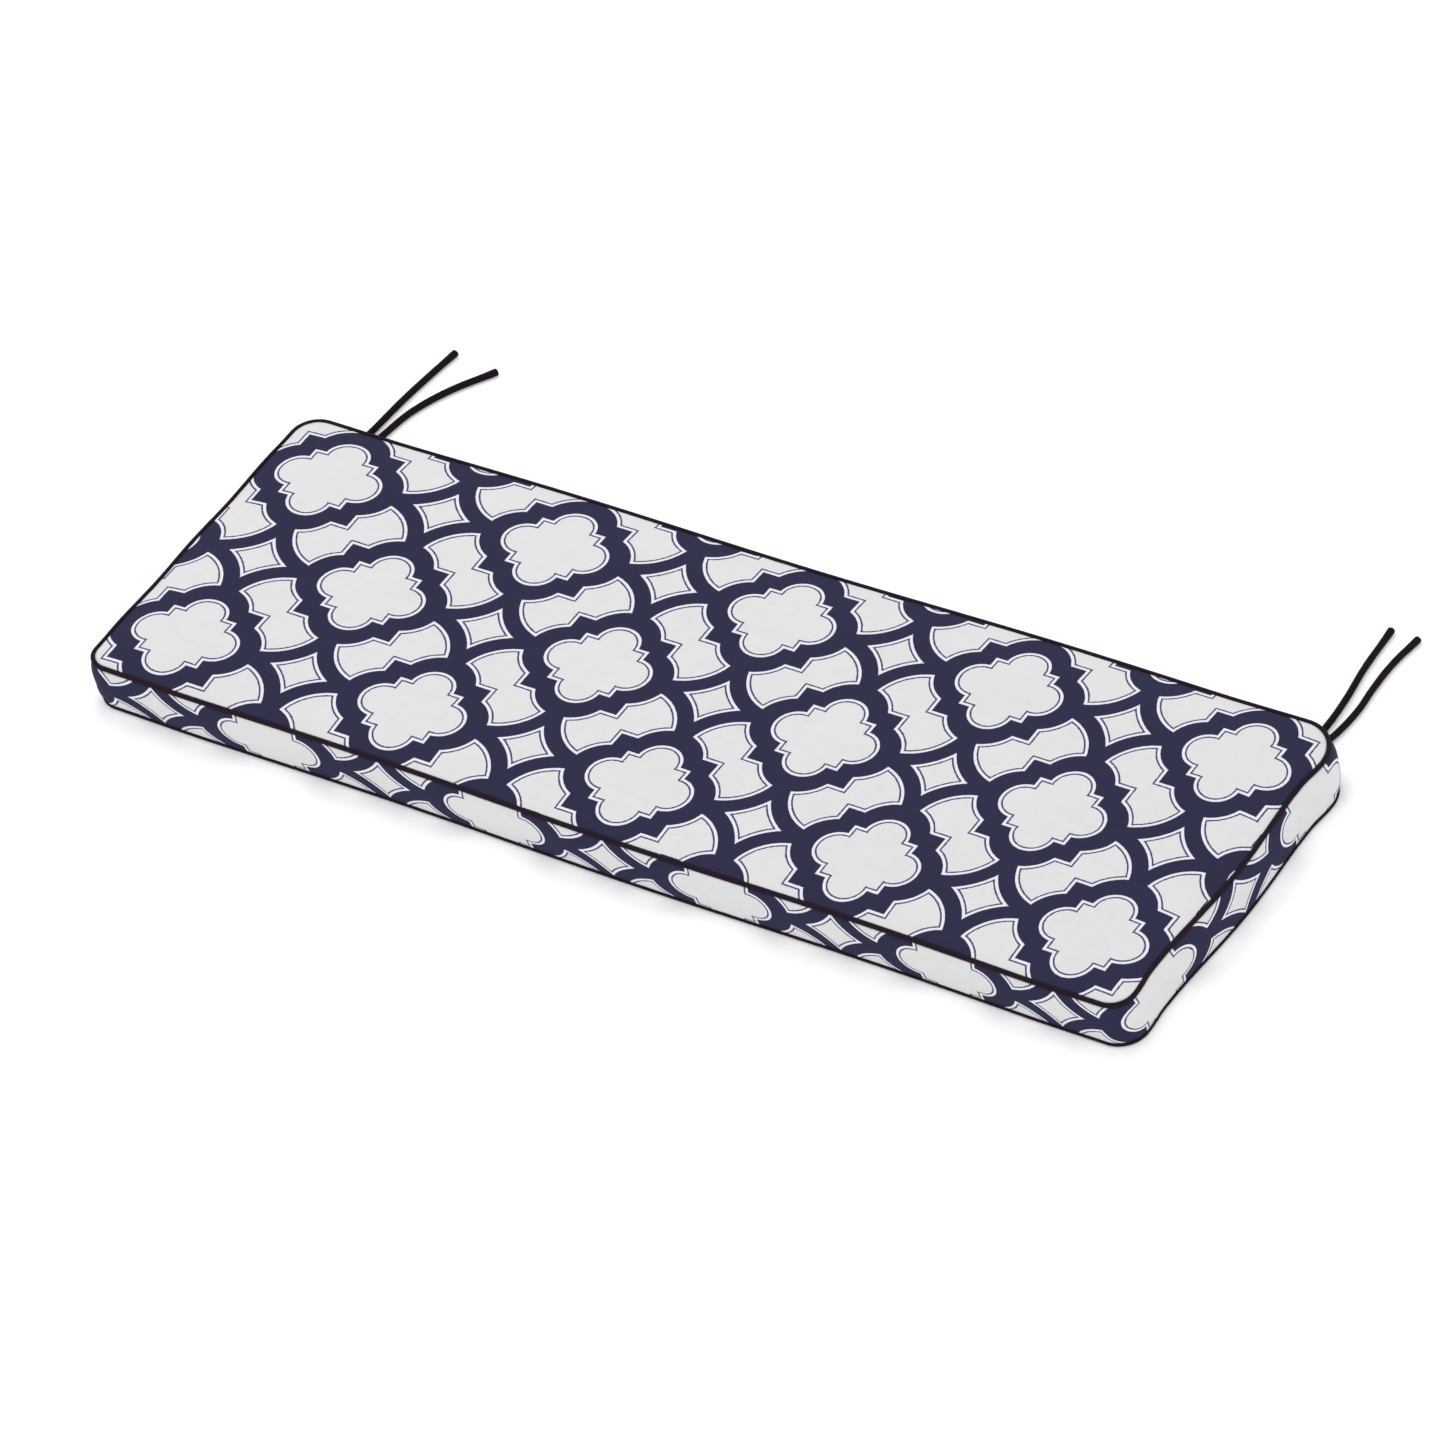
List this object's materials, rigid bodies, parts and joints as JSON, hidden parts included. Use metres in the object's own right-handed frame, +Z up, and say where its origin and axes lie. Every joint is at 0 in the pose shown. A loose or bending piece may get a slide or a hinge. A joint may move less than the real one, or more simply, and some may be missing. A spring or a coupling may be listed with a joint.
{
  "type": "bench cushion",
  "caption": "Long boxed bench cushion with a crowned top, corded seams along its top and bottom edges and cord ties at the back corners.",
  "frame": {"origin": "on the ground under the middle of the cushion", "axes": "+X along the length towards the right end, -Y towards the front, +Z up out of the face that is sat on"},
  "size_m": [1.3879, 0.6939, 0.0727],
  "materials": {
    "printed_cloth": "matt plain-weave cloth, off-white with a navy printed trellis",
    "piping_cloth": "matt plum-black bias cloth wrapped round a cord",
    "tie_cord": "matt plum-black cord tie"
  },
  "bodies": {
    "root": {"cushion": "printed_cloth", "piping_top": "piping_cloth", "piping_bottom": "piping_cloth", "tie_left_a": "tie_cord", "tie_left_b": "tie_cord", "tie_right_a": "tie_cord", "tie_right_b": "tie_cord"}
  },
  "joints": []
}
